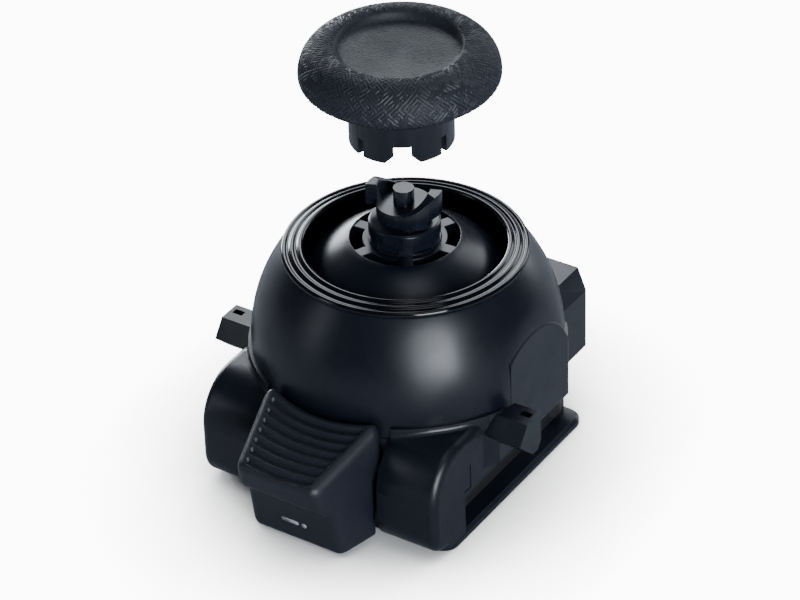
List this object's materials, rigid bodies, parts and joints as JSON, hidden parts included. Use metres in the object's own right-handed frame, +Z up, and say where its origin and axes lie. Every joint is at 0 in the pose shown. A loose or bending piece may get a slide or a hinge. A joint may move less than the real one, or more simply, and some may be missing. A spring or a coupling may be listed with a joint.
{
  "type": "thumbstick module",
  "caption": "Plug-in analogue thumbstick module: domed bowl with ringed opening, tilting post, lifted grip cap and ribbed function key.",
  "frame": {"origin": "on the base plate's underside, on the stick's axis", "axes": "+X to the module's right, -Y towards the function button, +Z up along the stick"},
  "size_m": [0.035, 0.039, 0.0452],
  "materials": {
    "casing_plastic": "satin moulded, near black",
    "bowl_plastic": "smooth satin, near black",
    "dome_plastic": "smooth satin, low friction",
    "ring_plastic": "high gloss black",
    "button_plastic": "soft matte, near black",
    "head_plastic": "glass-filled, satin",
    "grip_rubber": "textured soft-touch",
    "cap_plastic": "smooth matte",
    "gimbal_plastic": "natural acetal",
    "frame_steel": "pressed, nickel plated",
    "spring_steel": "drawn wire",
    "board_laminate": "green solder mask",
    "sensor_plastic": "moulded green",
    "switch_plastic": "moulded black",
    "contact_brass": "gold flashed",
    "carbon_track": "printed carbon",
    "flex_film": "polyimide film",
    "screw_steel": "black zinc"
  },
  "bodies": {
    "module": {"base_plate": "casing_plastic", "base_screws": "screw_steel", "inner_tray": "switch_plastic", "circuit_board": "board_laminate", "base_housing": "casing_plastic", "bowl_shell": "bowl_plastic", "trim_ring": "ring_plastic", "rear_cover": "casing_plastic", "rear_lid": "casing_plastic", "connector_block": "switch_plastic", "connector_contacts": "contact_brass", "flex_tail": "flex_film", "gimbal_frame": "frame_steel", "sensor_x_case": "sensor_plastic", "sensor_x_cover": "frame_steel", "sensor_x_track": "carbon_track", "sensor_y_case": "sensor_plastic", "sensor_y_cover": "frame_steel", "sensor_y_track": "carbon_track", "click_switch": "switch_plastic", "return_spring": "spring_steel", "fn_switch": "switch_plastic", "fn_board": "board_laminate", "fn_pivot_pins": "switch_plastic"},
    "rocker": {"rocker_frame": "gimbal_plastic", "sensor_x_wiper": "contact_brass"},
    "arch": {"arch_yoke": "gimbal_plastic", "sensor_y_wiper": "contact_brass"},
    "sleeve": {"pivot_sleeve": "gimbal_plastic"},
    "stick": {"stick_shaft": "frame_steel", "stick_head": "head_plastic", "post_collar": "head_plastic", "dust_dome": "dome_plastic"},
    "cap": {"cap_core": "cap_plastic", "cap_pad": "grip_rubber"},
    "button": {"fn_button": "button_plastic"},
    "click_key": {"click_plunger": "switch_plastic"},
    "fn_key": {"fn_plunger": "switch_plastic"}
  },
  "joints": [
    {"name": "tilt_front_back", "type": "hinge", "parent": "module", "child": "rocker", "pos_m": [0, 0, 0.01285], "axis": [1, 0, 0], "range_deg": [-16, 16], "stiffness_Nm_per_rad": 0.06, "deforming": ["return_spring"]},
    {"name": "tilt_side", "type": "hinge", "parent": "rocker", "child": "sleeve", "pos_m": [0, 0, 0.01285], "axis": [0, 1, 0], "range_deg": [-16, 16], "stiffness_Nm_per_rad": 0.06, "deforming": ["return_spring"]},
    {"name": "arch_turn", "type": "hinge", "parent": "module", "child": "arch", "pos_m": [0, 0, 0.01285], "axis": [0, 1, 0], "range_deg": [-16, 16]},
    {"name": "stick_click", "type": "slide", "parent": "sleeve", "child": "stick", "axis": [0, 0, -1], "range_m": [0, 0.0005], "stiffness_N_per_m": 4000, "springref_m": -0.0003, "deforming": ["return_spring"]},
    {"name": "cap_lift", "type": "slide", "parent": "stick", "child": "cap", "axis": [0, 0, 1], "range_m": [-0.0112, 0.002]},
    {"name": "fn_press", "type": "hinge", "parent": "module", "child": "button", "pos_m": [0, -0.015, 0.0082], "axis": [1, 0, 0], "range_deg": [0, 3.5], "stiffness_Nm_per_rad": 0.25, "springref_deg": -0.57},
    {"name": "click_key_press", "type": "slide", "parent": "module", "child": "click_key", "axis": [0, 0, -1], "range_m": [0, 0.0005]},
    {"name": "fn_key_press", "type": "slide", "parent": "module", "child": "fn_key", "axis": [0, 1, 0], "range_m": [0, 0.00025]}
  ],
  "couplings": [
    {"joint": "arch_turn", "follows": "tilt_side", "ratio": 1},
    {"joint": "click_key_press", "follows": "stick_click", "ratio": 1},
    {"joint": "fn_key_press", "follows": "fn_press", "m_per_rad": 0.0037}
  ]
}
